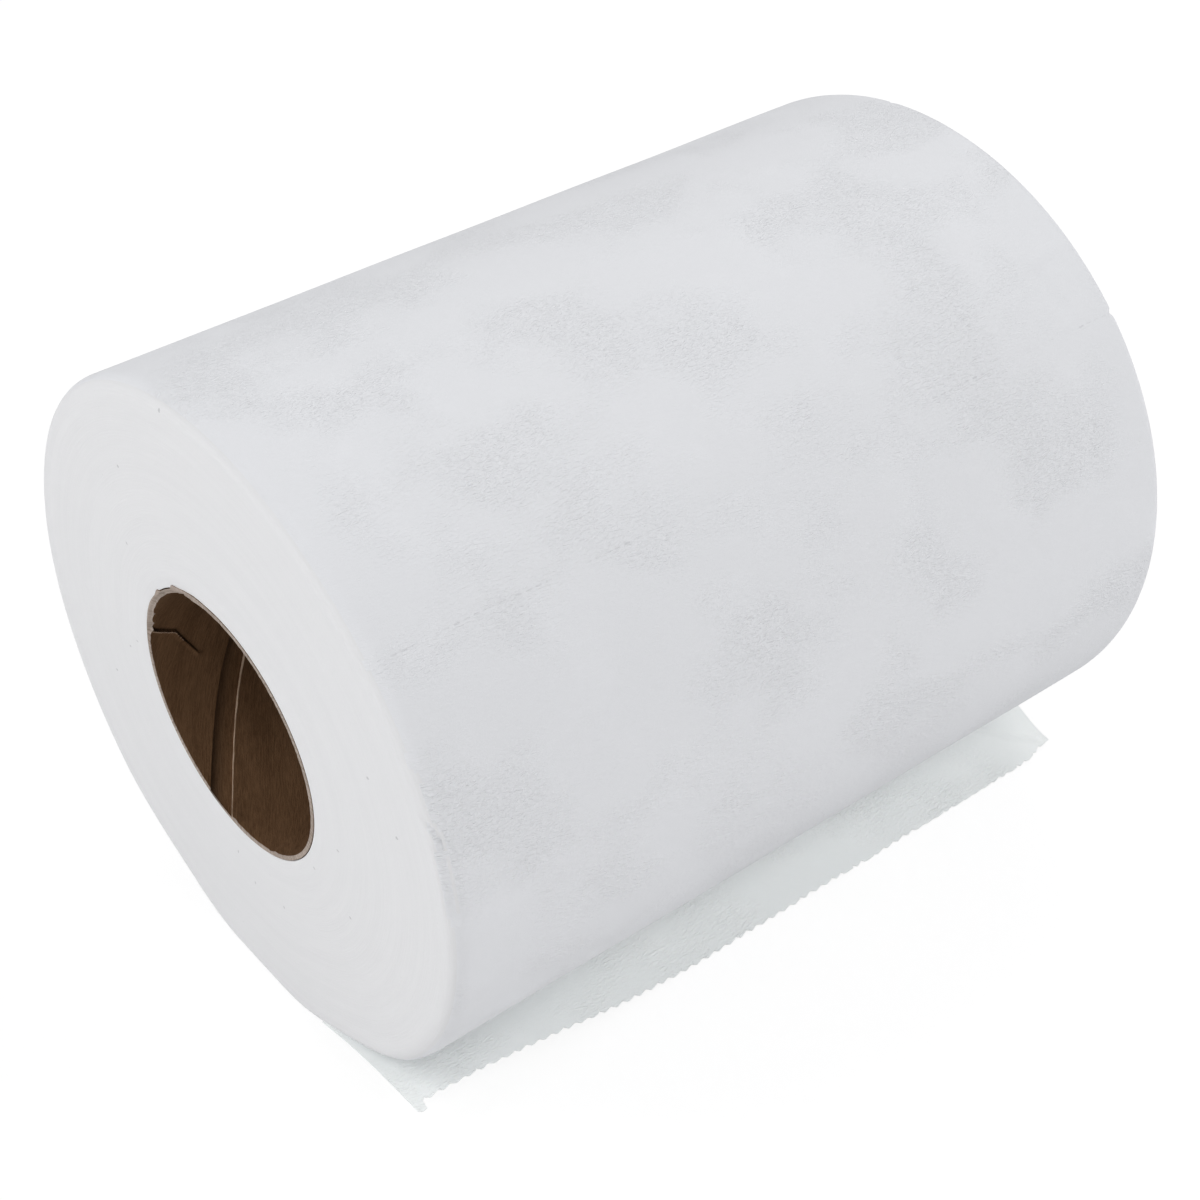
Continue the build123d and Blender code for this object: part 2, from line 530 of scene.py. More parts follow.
def shape_tail(points):
    """Turn a flat unit grid into the loose end."""
    row = points[:, 0] + 0.5
    y = MIDDLE_Y + points[:, 1] * WIDTH
    along = y - NEAR_Y
    edge = TAIL_REACH + tooth_edge(y) + np.where(along < TIP_WIDTH, TIP_LENGTH, 0)
    edge -= CORNER_BACK * step(along, WIDTH - 14 * MM, WIDTH)
    start = TAIL_START * TAIL_REACH
    x = start + (edge - start) * row
    share = x / TAIL_REACH
    down = step(y - NEAR_Y, 0, LIFT_LENGTH)
    z = (1 - down) * curve_through(share, LIFTED) + down * curve_through(share, RESTING)
    places = np.stack([x, y], axis=1)
    loose = step(share, 0.5, 0.8)
    z = z + 0.25 * MM * loose * (1 + waves(places, (0.031, 0.047, 0.083), 21))
    from_near = np.stack([x, y - NEAR_Y], axis=1)
    z = z + CREASE_HEIGHT * fade(distance_to_path(from_near, CREASE), CREASE_WIDTH)
    y = y - CORNER_LEAN * step(share, 0.6, 1.0) * step(along, WIDTH - 40 * MM, WIDTH)
    return np.stack([x, y, z], axis=1)


def make_tail():
    deselect_all()
    bpy.ops.mesh.primitive_grid_add(x_subdivisions=TAIL_ROWS, y_subdivisions=TAIL_COLUMNS, size=1)
    piece = name_piece("loose_end")
    points = shape_tail(read_points(piece))
    write_points(piece, points)
    vertex, face = face_loops(piece)
    write_map(piece, -points[vertex, 0], points[vertex, 1])
    thickness = piece.modifiers.new("ply", "SOLIDIFY")
    thickness.thickness = SHEET
    thickness.offset = 1
    bpy.ops.object.modifier_apply(modifier=thickness.name)
    return piece


loose_end = make_tail()
print("loose end triangles:", count_triangles(loose_end))

# %% [markdown]
# ## The board tube
# The core is a strip of brown board wound in a spiral. The innermost ply doesn't quite meet itself,
# so a shallow groove with two cut edges winds down the bore. The tube is drawn as its wall's
# lengthwise outline and spun like the paper. Then every ring is turned a little further than the one
# before it, so that the columns of faces follow the spiral, and the columns in the groove sink. The
# outer skin needs nearly as many rows as the bore, or its twisted faces would cut through the wall.

# %% Draw and spin the tube's wall
BOARD_WALL = 1.75 * MM
CORE_BORE = CORE_RADIUS - BOARD_WALL
SPIRAL_LEAD = 152 * MM
GROOVE_WIDTH, GROOVE_DEPTH = 11 * MM, 0.95 * MM
GROOVE_START = math.radians(-107.5)
EDGE_GAP = 0.16 * MM
CORE_COLUMNS = 288
RIM_ZONE = 18 * MM
RIM_ROWS, BORE_ROWS = 30, 90
OUTER_RIM_ROWS, OUTER_ROWS, WALL_ROWS = 6, 74, 3
RIM_ROUNDING = 0.18 * MM
SKIN = 0.05 * MM


def near_crack(place):
    """The part of the bore, before it is twisted, that the crack will run through."""
    turn = math.degrees(math.atan2(place.z - AXIS_Z, place.x))
    out = math.hypot(place.x, place.z - AXIS_Z)
    return out < CORE_BORE + SKIN and place.y < NEAR_Y + 16 * MM and -95 < turn < -14


def spin_core():
    piece = start_outline("spiral_core", CORE_BORE, CORE_RADIUS)
    bpy.ops.mesh.select_mode(type="VERT")
    bpy.ops.mesh.bevel(offset=RIM_ROUNDING, segments=2, affect="VERTICES")
    bpy.ops.mesh.select_all(action="SELECT")
    bpy.ops.mesh.delete(type="ONLY_FACE")
    bpy.ops.mesh.select_all(action="SELECT")
    rim_end = NEAR_Y + RIM_ZONE
    bpy.ops.mesh.bisect(plane_co=(0, rim_end, 0), plane_no=(0, 1, 0))
    inside, outside = AXIS_Z + CORE_BORE + SKIN, AXIS_Z + CORE_RADIUS - SKIN
    in_rim = lambda p: NEAR_Y + MM < p.y < rim_end
    past_rim = lambda p: rim_end < p.y < FAR_Y - MM
    in_wall = lambda p: inside < p.z < outside
    subdivide_where(piece, lambda p: p.z < inside and in_rim(p), RIM_ROWS)
    subdivide_where(piece, lambda p: p.z < inside and past_rim(p), BORE_ROWS)
    subdivide_where(piece, lambda p: p.z > outside and in_rim(p), OUTER_RIM_ROWS)
    subdivide_where(piece, lambda p: p.z > outside and past_rim(p), OUTER_ROWS)
    subdivide_where(piece, lambda p: in_wall(p) and p.y < NEAR_Y + CLOSE, WALL_ROWS)
    subdivide_where(piece, lambda p: in_wall(p) and p.y > FAR_Y - CLOSE, WALL_ROWS)
    spin_outline(CORE_COLUMNS, CLOSE / 2)
    choose_points(piece, near_crack)
    bpy.ops.mesh.subdivide(number_cuts=2)
    bpy.ops.object.mode_set(mode="OBJECT")
    return piece


spiral_core = spin_core()
print("core triangles:", count_triangles(spiral_core))

# %% [markdown]
# The two columns either side of each cut edge are drawn together first, so that the groove's walls
# stand upright. The near rim is torn: its inner side is chipped at the top left and its
# outer ply stands out in two corners there, a crack runs in from it, and it is crumpled lower down.
# Chips and corners are pairs of degrees round the tube and millimetres.

# %% Twist the columns, sink the groove and tear the rim
COLUMN_TURN = 2 * math.pi / CORE_COLUMNS


def draw_together(angle):
    """Move the column nearest each cut edge, and its neighbour, to the two sides of the edge."""
    moved = angle.copy()
    for edge in (-GROOVE_WIDTH / 2 / CORE_BORE, GROOVE_WIDTH / 2 / CORE_BORE):
        low = math.floor(edge / COLUMN_TURN) * COLUMN_TURN
        for column, side in ((low, -0.5), (low + COLUMN_TURN, 0.5)):
            near = np.abs(angle - column) < COLUMN_TURN / 4
            moved[near] = edge + side * EDGE_GAP / CORE_BORE
    return moved


def core_place(degrees, along):
    return (math.radians(degrees) * CORE_BORE, along * MM)


CRACK = [
    core_place(167, -1),
    core_place(169.4, 0.7),
    core_place(172, 3.6),
    core_place(175.4, 7.8),
    core_place(180.5, 9.6),
    core_place(189.7, 13.2),
]
LIP_OFFSET, LIP_WIDTH, LIP_HEIGHT = 0.45 * MM, 0.9 * MM, 0.75 * MM
CRACK_LIP = [(arc + LIP_OFFSET, depth) for arc, depth in CRACK[1:-1]]
CRUMPLES = [
    ([core_place(-62, -1), core_place(-64, 3.5)], -0.5 * MM),
    ([core_place(-67, -1), core_place(-69, 4.0)], 0.45 * MM),
    ([core_place(-96, -1), core_place(-97, 1.5)], -0.6 * MM),
]
CRUMPLE_WIDTH = 0.8 * MM
CHIPS = [
    (108, 0.0),
    (119, 0.9),
    (131, 0.5),
    (140, 1.5),
    (143, 0.7),
    (156, 0.6),
    (159, 1.3),
    (162, 0.5),
    (167, 1.4),
    (170, 0.3),
    (176, 0.0),
]
FLARES = [
    (96, 0.0),
    (118, 0.6),
    (124, 1.2),
    (125.2, 0.1),
    (137, 0.0),
    (139.6, 0.9),
    (144, 0.2),
    (152, 0.4),
    (170, 0.0),
]


TORN_REACH = 3 * MM
RAGGED_SPOTS = 541


def tear_rim(full, depth, radius):
    """How far each point near the rim is torn back along the tube."""
    chips = np.interp(np.degrees(full), *zip(*CHIPS))
    chance = np.random.default_rng(8)
    spots = np.linspace(0, 2 * math.pi, RAGGED_SPOTS)
    ragged = np.interp(full, spots, chance.uniform(0, 1, RAGGED_SPOTS))
    inward = step(-radius, -(CORE_RADIUS - 0.3 * MM), -(CORE_BORE + 0.7 * MM))
    rim = step(-depth, -TORN_REACH, 0)
    return rim * MM * inward * (chips * (0.7 + 0.5 * ragged) + 0.12 * ragged)


def flare_rim(full, depth, radius):
    """How far the torn outer ply of the rim stands out."""
    outermost = (radius > CORE_RADIUS - 0.25 * MM) & (depth < 0.25 * MM)
    return outermost * MM * np.interp(np.degrees(full), *zip(*FLARES))


def crack_lip(places):
    """One side of the crack stands up, below it, and the other has sunk."""
    line = np.array(CRACK)
    below = places[:, 0] - np.interp(places[:, 1], line[:, 1], line[:, 0])
    return fade(distance_to_path(places, CRACK), LIP_WIDTH) * np.where(below > 0, 1.0, -0.7)


def shape_core(piece):
    """Shape the tube, and return what its map needs: angles before the twist, depths and places."""
    points = read_points(piece)
    tube_radius, depth = radius_of(points), points[:, 1] - NEAR_Y
    turned = draw_together(angle_of(points))
    inner = tube_radius < CORE_BORE + 0.12 * MM
    in_groove = np.abs(turned) < GROOVE_WIDTH / 2 / CORE_BORE
    in_groove &= tube_radius < CORE_BORE + 0.4 * MM
    angle = GROOVE_START - 2 * math.pi * depth / SPIRAL_LEAD + turned
    radius = tube_radius + np.where(in_groove, GROOVE_DEPTH, 0)
    full = angle % (2 * math.pi)
    places = np.stack([full * CORE_BORE, depth], axis=1)
    radius = radius - inner * LIP_HEIGHT * crack_lip(places)
    lower = np.stack([(full - 2 * math.pi) * CORE_BORE, depth], axis=1)
    for path, push in CRUMPLES:
        radius = radius + inner * push * fade(distance_to_path(lower, path), CRUMPLE_WIDTH)
    y = NEAR_Y + depth + tear_rim(full, depth, radius)
    wall_share = (radius - CORE_BORE) / BOARD_WALL
    shrink = TUBE_SHRINK + wall_share * (BORE_SHRINK - TUBE_SHRINK)
    radius = radius + flare_rim(full, depth, radius) + squash(angle, depth, shrink)
    moved = [radius * np.cos(angle), y, AXIS_Z + radius * np.sin(angle)]
    write_points(piece, np.stack(moved, axis=1))
    return turned, depth, tube_radius, places


core_turned, core_depth, core_radius, core_places = shape_core(spiral_core)
print(f"groove winds {WIDTH / SPIRAL_LEAD:.2f} turns down the bore")

# %% [markdown]
# The board's map follows its strip: across it from the middle of the groove, and along the spiral.
# While the map is written, each face is given its finish. The cut rims are pale. One wall of the
# groove is pale cut board with a painted highlight and the other is painted shadow, and the crack
# is painted shadow with a painted highlight on its lip below.

# %% Map the board along its own grain
SPIRAL_STRETCH = math.hypot(1, 2 * math.pi * CORE_BORE / SPIRAL_LEAD)
# LIT_EDGE faces carry a painted highlight, and DARK_EDGE faces painted shadow.
WALL, RIM, LIT_EDGE, DARK_EDGE = 0, 1, 2, 3
RIM_DEPTH = 0.15 * MM
CRACK_REACH, LIP_REACH = 0.30 * MM, 0.16 * MM


def map_core(piece, tube_radius, bore_places):
    """Write the board's map, and choose the finish of each face."""
    vertex, face = face_loops(piece)
    corner = closed_angles(core_turned, vertex, face)
    write_map(piece, corner * CORE_BORE, core_depth[vertex] * SPIRAL_STRETCH)

    def face_mean(values):
        return np.bincount(face, values) / np.bincount(face)

    depth, out = face_mean(core_depth[vertex]), face_mean(tube_radius[vertex])
    across = face_mean(corner) * CORE_BORE
    rim = (depth < RIM_DEPTH) | (depth > WIDTH - RIM_DEPTH)
    groove_wall = out < CORE_BORE + GROOVE_DEPTH
    # Painted highlight on the lit groove wall and the crack's lip, painted shadow on the dark wall
    # and the crack.
    lit = groove_wall & (np.abs(across - GROOVE_WIDTH / 2) < 0.3 * EDGE_GAP)
    dark = groove_wall & (np.abs(across + GROOVE_WIDTH / 2) < 0.3 * EDGE_GAP)
    places = np.stack([face_mean(bore_places[vertex, 0]), depth], axis=1)
    in_bore = (out < CORE_BORE + 0.12 * MM) & ~rim
    lit |= in_bore & (distance_to_path(places, CRACK_LIP) < LIP_REACH)
    dark |= in_bore & (distance_to_path(places, CRACK) < CRACK_REACH)
    return np.select([rim, dark, lit], [RIM, DARK_EDGE, LIT_EDGE], WALL)


core_finishes = map_core(spiral_core, core_radius, core_places)
print("cut faces on the rims:", int((core_finishes == RIM).sum()))

# %% [markdown]
# ## Helpers for materials
# A material is a small graph. These helpers add a node with its settings, and join a value or
# another node's output to one of its inputs, so that each finish reads as a list of steps.

# %% Node helpers


def add(tree, kind, **settings):
    node = tree.nodes.new(kind)
    for name, value in settings.items():
        setattr(node, name, value)
    return node


def find_socket(node, name):
    """An input by its number, as in0, or by its name with _ for a space."""
    if name.startswith("in") and name[2:].isdigit():
        return node.inputs[int(name[2:])]
    return node.inputs[name.replace("_", " ")]


def feed(tree, node, **inputs):
    """Give each input a number, a colour or another node's output."""
    for name, value in inputs.items():
        socket = find_socket(node, name)
        if isinstance(value, bpy.types.NodeSocket):
            tree.links.new(value, socket)
        else:
            socket.default_value = value
    return node


def maths(tree, operation, first, second=0.0, third=None, clamp=False):
    node = add(tree, "ShaderNodeMath", operation=operation, use_clamp=clamp)
    feed(tree, node, in0=first, in1=second)
    if third is not None:
        feed(tree, node, in2=third)
    return node.outputs[0]


def ramp(tree, value, low, high, to_low=0.0, to_high=1.0):
    """Stretch a value between two limits, smoothly."""
    node = add(tree, "ShaderNodeMapRange", interpolation_type="SMOOTHSTEP")
    feed(tree, node, Value=value, From_Min=low, From_Max=high, To_Min=to_low, To_Max=to_high)
    return node.outputs["Result"]


def stretched_noise(tree, vector, scale, detail=2.0, turn=0.0):
    """Noise with its own scale in each direction, in bumps per metre."""
    mapping = add(tree, "ShaderNodeMapping")
    feed(tree, mapping, Vector=vector, Scale=scale, Rotation=(0, 0, turn))
    noise = add(tree, "ShaderNodeTexNoise", noise_dimensions="2D")
    feed(tree, noise, Vector=mapping.outputs[0], Scale=1.0, Detail=detail, Roughness=0.55)
    return noise.outputs["Fac"]


def mix_colours(tree, share, first, second):
    node = add(tree, "ShaderNodeMix", data_type="RGBA")
    feed(tree, node, in0=share, in6=first, in7=second)
    return node.outputs[2]


def new_group(name, inputs, outputs):
    tree = bpy.data.node_groups.new(name, "ShaderNodeTree")
    for socket, kind in inputs:
        tree.interface.new_socket(socket, in_out="INPUT", socket_type=kind)
    for socket, kind in outputs:
        tree.interface.new_socket(socket, in_out="OUTPUT", socket_type=kind)
    return tree, add(tree, "NodeGroupInput"), add(tree, "NodeGroupOutput")


def new_finish(name, roughness, specular):
    material = bpy.data.materials.new(name)
    material.use_nodes = True
    shader = material.node_tree.nodes["Principled BSDF"]
    feed(material.node_tree, shader, Roughness=roughness, Specular_IOR_Level=specular)
    return material, material.node_tree, shader


print("node helpers ready")

# %% [markdown]
# ## The crepe of the paper
# Towel paper is scraped off a drying cylinder by a blade, which leaves short ridges across the web,
# about a millimetre apart and a few long, over a finer mat of fibres. The ridges fade in and out in
# soft patches. Both the wound paper and the loose end have them, so they are one node group.

# %% Build the crepe group


def build_crepe():
    sockets_in = [("Vector", "NodeSocketVector")]
    sockets_out = [("Height", "NodeSocketFloat"), ("Tone", "NodeSocketFloat")]
    tree, source, target = new_group("paper_crepe", sockets_in, sockets_out)
    vector = source.outputs["Vector"]
    ridges = ramp(tree, stretched_noise(tree, vector, (1500, 520, 1), 1.0, 0.10), 0.42, 0.66)
    strokes = ramp(tree, stretched_noise(tree, vector, (1900, 800, 1), 1.0, -0.30), 0.50, 0.70)
    fibres = stretched_noise(tree, vector, (4200, 3600, 1), 3.0, 0.4)
    patches = ramp(tree, stretched_noise(tree, vector, (30, 22, 1), 2.0), 0.38, 0.66, 0.15, 1.0)
    height = maths(tree, "MULTIPLY_ADD", strokes, 0.7, ridges)
    height = maths(tree, "MULTIPLY", height, patches)
    height = maths(tree, "MULTIPLY_ADD", fibres, 0.35, height)
    cloudy = stretched_noise(tree, vector, (60, 48, 1), 4.0)
    # The crepe's height lightens the tone, so its hollows are painted greyer: painted shade.
    tone = maths(tree, "MULTIPLY_ADD", height, 0.12, cloudy)
    feed(tree, target, Height=height, Tone=tone)
    return tree


crepe_group = build_crepe()
print("group:", crepe_group.name)


def place_group(tree, group, **inputs):
    node = add(tree, "ShaderNodeGroup", node_tree=group)
    return feed(tree, node, **inputs)


def web_map(tree):
    return add(tree, "ShaderNodeUVMap", uv_map="web").outputs["UV"]


def bump(tree, height, distance, strength=1.0):
    node = add(tree, "ShaderNodeBump")
    feed(tree, node, Height=height, Distance=distance, Strength=strength)
    return node.outputs["Normal"]


# %% [markdown]
# ## The tear line
# Between two sheets a row of short cuts runs across the web, with uncut ties between them. Pulled
# tight on the roll, some cuts gape and show a faint slit, which is painted darker as painted shade,
# and others close up. The mesh has only a shallow hollow there, so the cuts are drawn from the map:
# the distance to the line, times a rhythm.

# %% Build the tear line group
SHEET_LENGTH = 231 * MM
TEAR_START = math.radians(TEAR_ANGLE_NEAR) * ROLL_RADIUS
TEAR_SLOPE = math.radians(TEAR_ANGLE_FAR - TEAR_ANGLE_NEAR) * ROLL_RADIUS / WIDTH


def build_tear_line():
    number = "NodeSocketFloat"
    sockets_in = [("Vector", "NodeSocketVector"), ("Start", number), ("Slope", number)]
    sockets_out = [("Cut", number), ("Lip", number)]
    tree, source, target = new_group("tear_line", sockets_in, sockets_out)
    split = add(tree, "ShaderNodeSeparateXYZ")
    feed(tree, split, Vector=source.outputs["Vector"])
    along = maths(tree, "SUBTRACT", split.outputs["Y"], NEAR_Y)
    line = maths(tree, "MULTIPLY_ADD", along, source.outputs["Slope"], source.outputs["Start"])
    wander = stretched_noise(tree, source.outputs["Vector"], (6, 60, 1), 2.0)
    line = maths(tree, "MULTIPLY_ADD", maths(tree, "SUBTRACT", wander, 0.5), 1.2 * MM, line)
    offset = maths(tree, "SUBTRACT", split.outputs["X"], line)
    slit = ramp(tree, maths(tree, "ABSOLUTE", offset), 0.06 * MM, 0.26 * MM, 1.0, 0.0)
    rhythm = maths(tree, "FRACT", maths(tree, "DIVIDE", along, 2.9 * MM))
    from_middle = maths(tree, "ABSOLUTE", maths(tree, "SUBTRACT", rhythm, 0.5))
    dashes = ramp(tree, from_middle, 0.22, 0.34, 1.0, 0.0)
    gaping = ramp(tree, stretched_noise(tree, source.outputs["Vector"], (5, 105, 1), 1.0), 0.50, 0.66)
    weight = maths(tree, "MULTIPLY_ADD", gaping, 0.80, 0.14)
    cut = maths(tree, "MULTIPLY", maths(tree, "MULTIPLY", slit, dashes), weight)
    below = maths(tree, "ABSOLUTE", maths(tree, "ADD", offset, 0.55 * MM))
    lip = maths(tree, "MULTIPLY", ramp(tree, below, 0.1 * MM, 0.5 * MM, 1.0, 0.0), weight)
    feed(tree, target, Cut=cut, Lip=lip)
    return tree


tear_group = build_tear_line()
print("group:", tear_group.name)

# %% [markdown]
# ## The paper's finishes
# The paper is bleached white and matt. Its tone drifts by a few parts in a hundred, and the hollows
# of the crepe are painted a touch greyer, which is painted shade. The side, the ends and the loose
# end are one paper, but each has a pair of colours of its own: the side and the ends are painted a
# little darker as painted shade, and the loose end much brighter as painted light, to set how bright
# each part looks.

# %% Make the paper materials
# The PAPER and END pairs are painted a little darker and the LOOSE pair much brighter: painted shade
# and painted light on one paper.
PAPER_LIGHT = (0.792, 0.800, 0.826, 1)
PAPER_SHADE = (0.770, 0.778, 0.803, 1)
END_LIGHT = (0.772, 0.774, 0.786, 1)
END_SHADE = (0.750, 0.752, 0.765, 1)
LOOSE_LIGHT = (0.925, 0.945, 0.940, 1)
LOOSE_SHADE = (0.900, 0.925, 0.920, 1)
# Painted shade in the gaping cuts of the tear line, and the real dark flecks of the end face.
SLIT_SHADE_AND_FLECK_COLOUR = (0.30, 0.30, 0.31, 1)
CREPE_DEPTH = 0.11 * MM


def make_side_paper():
    material, tree, shader = new_finish("towel_side", 0.95, 0.15)
    place = web_map(tree)
    crepe = place_group(tree, crepe_group, Vector=place)
    near = place_group(tree, tear_group, Vector=place, Start=TEAR_START, Slope=TEAR_SLOPE)
    next_start = TEAR_START + SHEET_LENGTH
    back = place_group(tree, tear_group, Vector=place, Start=next_start, Slope=TEAR_SLOPE)
    cut = maths(tree, "MAXIMUM", near.outputs["Cut"], back.outputs["Cut"])
    lip = maths(tree, "MAXIMUM", near.outputs["Lip"], back.outputs["Lip"])
    shade = ramp(tree, crepe.outputs["Tone"], 0.45, 0.95)
    colour = mix_colours(tree, shade, PAPER_SHADE, PAPER_LIGHT)
    # Painted shade in the gaping cuts of the tear line.
    colour = mix_colours(tree, maths(tree, "MULTIPLY", cut, 0.15), colour, SLIT_SHADE_AND_FLECK_COLOUR)
    height = maths(tree, "MULTIPLY_ADD", cut, -0.9, crepe.outputs["Height"])
    height = maths(tree, "MULTIPLY_ADD", lip, 0.5, height)
    feed(tree, shader, Base_Color=colour, Normal=bump(tree, height, CREPE_DEPTH))
    return material


def make_end_paper():
    material, tree, shader = new_finish("towel_ends", 0.95, 0.12)
    place = web_map(tree)
    turns = stretched_noise(tree, place, (26, 2400, 1), 2.0)
    bands = stretched_noise(tree, place, (6, 260, 1), 2.0)
    fibres = stretched_noise(tree, place, (900, 1500, 1), 3.0)
    height = maths(tree, "MULTIPLY_ADD", bands, 1.2, turns)
    height = maths(tree, "MULTIPLY_ADD", fibres, 0.7, height)
    flecks = ramp(tree, stretched_noise(tree, place, (330, 330, 1), 0.0), 0.925, 0.96)
    # Sunken turns and bands are painted greyer than raised ones: painted shade on the end face's
    # relief.
    shade = ramp(tree, height, 0.9, 2.0)
    colour = mix_colours(tree, shade, END_SHADE, END_LIGHT)
    colour = mix_colours(tree, maths(tree, "MULTIPLY", flecks, 0.4), colour, SLIT_SHADE_AND_FLECK_COLOUR)
    feed(tree, shader, Base_Color=colour, Normal=bump(tree, height, 0.06 * MM))
    return material


def make_loose_paper():
    material, tree, shader = new_finish("towel_loose_end", 0.95, 0.12)
    crepe = place_group(tree, crepe_group, Vector=web_map(tree))
    shade = ramp(tree, crepe.outputs["Tone"], 0.40, 0.95)
    colour = mix_colours(tree, shade, LOOSE_SHADE, LOOSE_LIGHT)
    feed(tree, shader, Base_Color=colour, Normal=bump(tree, crepe.outputs["Height"], CREPE_DEPTH))
    return material


side_paper, end_paper, loose_paper = make_side_paper(), make_end_paper(), make_loose_paper()
print("paper finishes made")

# %% [markdown]
# ## The board's finishes
# The tube is unbleached recycled board: dark, with fine fibres that run along the strip and a
# scatter of lighter and darker specks. Where the wall was cut at the rims it shows its pale middle.
# A painted shadow darkens the floor of the groove beside its first wall, and beside its second wall a
# hair's breadth is painted pale, for its frayed fibres and as a painted highlight. The finishes are
# the wall, the cut rim, the lit edge with a painted highlight, and the dark edge, which is painted
# shadow.

# %% Make the board materials
BOARD_DARK = (0.086, 0.044, 0.020, 1)
BOARD_LIGHT = (0.165, 0.091, 0.046, 1)
CUT_DARK = (0.230, 0.180, 0.148, 1)
CUT_LIGHT = (0.480, 0.410, 0.360, 1)
EDGE_DARK = (0.300, 0.205, 0.140, 1)
EDGE_LIGHT = (0.520, 0.390, 0.290, 1)
# The darkest colour is painted shadow: in the groove beside its first wall, on its dark wall and in
# the crack.
PAINTED_SHADOW_DARK = (0.012, 0.006, 0.003, 1)


def build_board_grain():
    sockets_out = [("Height", "NodeSocketFloat"), ("Tone", "NodeSocketFloat")]
    tree, source, target = new_group("board_grain", [("Vector", "NodeSocketVector")], sockets_out)
    vector = source.outputs["Vector"]
    streaks = stretched_noise(tree, vector, (1300, 260, 1), 3.0)
    specks = stretched_noise(tree, vector, (1900, 1700, 1), 2.0)
    clouds = stretched_noise(tree, vector, (70, 30, 1), 3.0)
    height = maths(tree, "MULTIPLY_ADD", specks, 0.6, streaks)
    tone = maths(tree, "MULTIPLY_ADD", clouds, 0.8, height)
    feed(tree, target, Height=height, Tone=tone)
    return tree


board_group = build_board_grain()


def painted_groove_shadow(tree, place):
    """A share of painted shadow on the floor of the groove, most beside its first wall."""
    split = add(tree, "ShaderNodeSeparateXYZ")
    feed(tree, split, Vector=place)
    wall, width = -GROOVE_WIDTH / 2, GROOVE_WIDTH
    inside = maths(tree, "GREATER_THAN", split.outputs["X"], wall)
    fading = ramp(tree, split.outputs["X"], wall, wall + 0.8 * width, 0.62, 0.0)
    return maths(tree, "MULTIPLY", inside, fading)


def frayed_edge_and_highlight(tree, place):
    """A share that lightens a hair's breadth of board beside the groove's second wall, for its frayed
    fibres and as a painted highlight.
    """
    split = add(tree, "ShaderNodeSeparateXYZ")
    feed(tree, split, Vector=place)
    beside = maths(tree, "SUBTRACT", split.outputs["X"], GROOVE_WIDTH / 2 + 0.22 * MM)
    fray = stretched_noise(tree, place, (300, 220, 1), 2.0)
    line = ramp(tree, maths(tree, "ABSOLUTE", beside), 0.14 * MM, 0.34 * MM, 1.0, 0.0)
    return maths(tree, "MULTIPLY", line, ramp(tree, fray, 0.35, 0.6, 0.25, 0.75))


def make_board(name, dark, light, roughness):
    material, tree, shader = new_finish(name, roughness, 0.10)
    grain = place_group(tree, board_group, Vector=web_map(tree))
    shade = ramp(tree, grain.outputs["Tone"], 0.75, 1.65)
    colour = mix_colours(tree, shade, dark, light)
    # Painted shadow on the groove's floor, then a painted highlight beside its second wall.
    colour = mix_colours(tree, painted_groove_shadow(tree, web_map(tree)), colour, PAINTED_SHADOW_DARK)
    colour = mix_colours(tree, frayed_edge_and_highlight(tree, web_map(tree)), colour, EDGE_LIGHT)
    feed(tree, shader, Base_Color=colour, Normal=bump(tree, grain.outputs["Height"], 0.12 * MM))
    return material


board_wall = make_board("board_wall", BOARD_DARK, BOARD_LIGHT, 0.8)
board_cut = make_board("board_cut_rim", CUT_DARK, CUT_LIGHT, 0.95)
# The lit groove wall is pale cut board with a painted highlight, and the crack's lip is painted
# highlight.
board_edge_and_highlight = make_board("board_ply_edge_and_highlight", EDGE_DARK, EDGE_LIGHT, 0.95)
# The dark groove wall and the crack line are painted shadow.
board_dark = make_board("board_gap", PAINTED_SHADOW_DARK, BOARD_DARK, 0.95)
print("board finishes made")

# %% [markdown]
# ## Putting the finishes on
# A face keeps the number of its material. The paper's end faces take the second one, and the tube's
# faces take WALL, RIM, LIT_EDGE or DARK_EDGE. All pieces ride on the roll's one body, and stand for
# the plain solids.

# %% Assign, ride and replace


def finish_piece(piece, materials, face_finishes, node):
    for material in materials:
        piece.data.materials.append(material)
    if face_finishes is not None:
        piece.data.polygons.foreach_set("material_index", face_finishes.astype(np.int32))
    deselect_all()
    piece.select_set(True)
    bpy.context.view_layer.objects.active = piece
    bpy.ops.object.shade_smooth_by_angle(angle=math.radians(50))
    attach(piece, "root")
    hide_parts(node)
    print(piece.name, "stands for", node)


finish_piece(wound_paper, [side_paper, end_paper], end_faces, "towel_roll")
finish_piece(loose_end, [loose_paper], None, "towel_roll")
board = [board_wall, board_cut, board_edge_and_highlight, board_dark]
finish_piece(spiral_core, board, core_finishes, "core_tube")

# %% [markdown]
# ## Floor and light
# The roll lies on a plain white floor. Five lamps light it, and those on the left and on the far
# side are the strongest. An even white surround fills the rest. The floor adds a little white for
# the camera, so that it reads as paper white and still keeps a soft shadow under the roll.

# %% Make the floor
FLOOR_SIZE = 8.0
FLOOR_DROP = 0.0002


